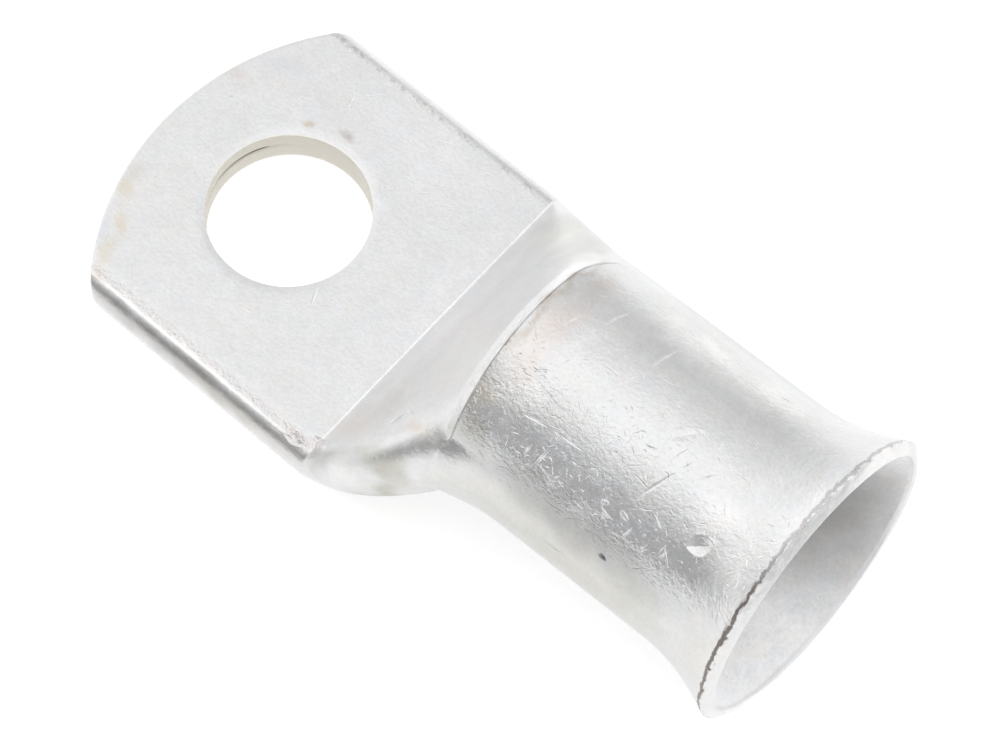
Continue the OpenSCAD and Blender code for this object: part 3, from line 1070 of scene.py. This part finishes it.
# Tarnish lies in blotches where fingers and the press tool touched: the same again.
# Along the shoulder, from u 25.7 to 27.6, it is partly painted: a line of painted shade beside
# the press mark's step, and partly tarnish, partly a warm painted reflection over the shoulder.
# The last row darkens the pit almost to black.
TARNISH_AND_PAINTED_LIGHT = (
    (-10.4, 7.0, 3.6, 2.0, 58, (0.94, 0.86, 0.72)),
    (-8.8, 9.3, 3.4, 1.6, 52, (0.95, 0.86, 0.72)),
    (-8.2, 11.6, 3.6, 1.7, 70, (0.94, 0.87, 0.74)),
    (-7.2, 13.2, 2.4, 1.6, 40, (0.95, 0.88, 0.78)),
    (-10.2, 10.2, 4.6, 2.4, 62, (0.94, 0.95, 1.00)),
    (-10.8, 5.2, 3.4, 2.6, 10, (0.90, 0.87, 0.82)),
    (-3.8, -6.6, 1.6, 0.8, -20, (0.74, 0.60, 0.44)),
    (-1.0, -7.5, 2.2, 0.9, -8, (0.66, 0.60, 0.55)),
    (-8.4, -9.2, 5.6, 2.4, -22, (0.94, 0.95, 0.99)),
    (-11.4, -6.2, 3.4, 1.8, -18, (0.96, 0.89, 0.87)),
    (16.6, 10.5, 5.4, 5.0, 0, (0.95, 0.89, 0.86)),
    (22.0, 10.3, 3.6, 2.0, 0, (0.90, 0.82, 0.75)),
    (18.5, -10.0, 7.0, 7.0, 0, (0.95, 0.95, 0.90)),
    (25.7, -0.5, 1.3, 20.0, 0, (0.80, 0.74, 0.67)),
    (26.1, 7.4, 2.0, 4.4, 0, (0.97, 0.92, 0.85)),
    (27.4, 1.0, 4.4, 13.0, 0, (0.97, 0.89, 0.85)),
    (27.6, -5.0, 3.0, 5.0, 0, (0.92, 0.87, 0.82)),
    (39.5, 12.0, 0.9, 0.5, 8, (0.10, 0.09, 0.09)),
)
# The bore's tin is made paler all over: painted light, which with the painted shade on its upper wall
# stands in for how the light falls into the mouth
BORE_PAINTED_LIGHT = 0.33
# A fixed seed, so that the tints' edges wander the same way every time
noise.seed_set(7)
adrift = np.array([noise.noise_vector(Vector(point) * 0.55) for point in points])
for name, spots, sway in (("painted_light_and_shade", PAINTED_LIGHT_AND_SHADE, 0.8), ("tarnish_and_painted_light", TARNISH_AND_PAINTED_LIGHT, 0.9)):
    tint = np.ones((len(u), 4))
    for at_u, at_v, length, width, turn, shade in spots:
        swaying = sway * min(1.0, width / 2)
        gap = oval(u + swaying * adrift[:, 0], v + swaying * adrift[:, 1],
                   at_u, at_v, length, width, turn)
        share = np.clip(1.0 - gap * gap, 0, 1) ** 2
        tint[:, :3] *= 1.0 + share[:, None] * (np.array(shade) - 1.0)
    if name == "painted_light_and_shade":
        tint[:, :3] *= 1.0 + BORE_PAINTED_LIGHT * inner[:, None]
    shape.attributes.new(name, "FLOAT_COLOR", "POINT").data.foreach_set("color", tint.ravel())
shape.update()

SHARP_FROM = math.radians(38)
shape.materials.clear()
shape.materials.append(tin)
shape.shade_smooth()
shape.set_sharp_from_angle(angle=SHARP_FROM)

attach(lug, "root")
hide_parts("lug")

# ---------------------------------------------------------------------------------------------
# The white sheet under the part. It shows white and keeps the part's soft shadow.
# ---------------------------------------------------------------------------------------------
SHEET_GLOW = 0.48
SHEET_REACH = 1.5
SHEET_LEVEL = -0.02 * MM

sheet = bpy.data.materials.new("white_sheet")
sheet.use_nodes = True
nodes = sheet.node_tree.nodes
nodes.clear()
paper = nodes.new("ShaderNodeBsdfDiffuse")
paper.inputs["Color"].default_value = (0.9, 0.9, 0.9, 1)
paper_seen = nodes.new("ShaderNodeBsdfDiffuse")
paper_seen.inputs["Color"].default_value = (0.8, 0.8, 0.8, 1)
glow = nodes.new("ShaderNodeEmission")
glow.inputs["Strength"].default_value = SHEET_GLOW
seen = nodes.new("ShaderNodeAddShader")
sheet.node_tree.links.new(paper_seen.outputs[0], seen.inputs[0])
sheet.node_tree.links.new(glow.outputs[0], seen.inputs[1])
ray = nodes.new("ShaderNodeLightPath")
looked_at = Amount(ray.outputs["Is Camera Ray"]) + Amount(ray.outputs["Is Glossy Ray"])
looked_at = (looked_at + Amount(ray.outputs["Is Transmission Ray"])).held(0.0, 1.0)
mixed = nodes.new("ShaderNodeMixShader")
sheet.node_tree.links.new(looked_at.socket, mixed.inputs[0])
sheet.node_tree.links.new(paper.outputs[0], mixed.inputs[1])
sheet.node_tree.links.new(seen.outputs[0], mixed.inputs[2])
surface = nodes.new("ShaderNodeOutputMaterial")
sheet.node_tree.links.new(mixed.outputs[0], surface.inputs[0])

floor_mesh = bpy.data.meshes.new("white_sheet")
corners = ((-1, -1), (1, -1), (1, 1), (-1, 1))
floor_mesh.from_pydata(
    [(SHEET_REACH * x, SHEET_REACH * y, SHEET_LEVEL) for x, y in corners], [], [(0, 1, 2, 3)])
floor_mesh.materials.append(sheet)
floor = bpy.data.objects.new("white_sheet", floor_mesh)
scene.collection.objects.link(floor)

# ---------------------------------------------------------------------------------------------
# The light. A white tent all round, brighter overhead, with its opening in front.
# ---------------------------------------------------------------------------------------------
tent = bpy.data.worlds.new("light_tent")
scene.world = tent
tent.use_nodes = True
nodes = tent.node_tree.nodes
links = tent.node_tree.links
background = nodes["Background"]
toward = nodes.new("ShaderNodeTexCoord")


def patch(azimuth, elevation, width):
    """How near a direction is to one place on the tent: 1 there, fading to 0."""
    azimuth, elevation = math.radians(azimuth), math.radians(elevation)
    dot = nodes.new("ShaderNodeVectorMath")
    dot.operation = "DOT_PRODUCT"
    links.new(toward.outputs["Generated"], dot.inputs[0])
    dot.inputs[1].default_value = (
        math.cos(elevation) * math.cos(azimuth), math.cos(elevation) * math.sin(azimuth),
        math.sin(elevation))
    gap = Amount(dot.outputs["Value"]).held(-1.0, 1.0).work("ARCCOSINE") / math.radians(width)
    return (gap * gap * -1.0).work("EXPONENT")


# Brighter and darker places on the tent: how much, azimuth, elevation and width
TENT = (
    (0.30, 0, 88, 34),
    (0.60, -150, 58, 28),
    (1.00, 165, 6, 32),
    (0.45, 43, 60, 28),
    (-0.40, -100, 10, 32),
    (-0.42, -134, 8, 24),
    (-0.08, 100, 25, 30),
)
white = 0.70
for more, azimuth, elevation, width in TENT:
    white = white + more * patch(azimuth, elevation, width)
links.new(white.work("MAXIMUM", 0.03).socket, background.inputs["Strength"])
background.inputs["Color"].default_value = (1, 1, 1, 1)

scene.view_settings.view_transform = "Standard"
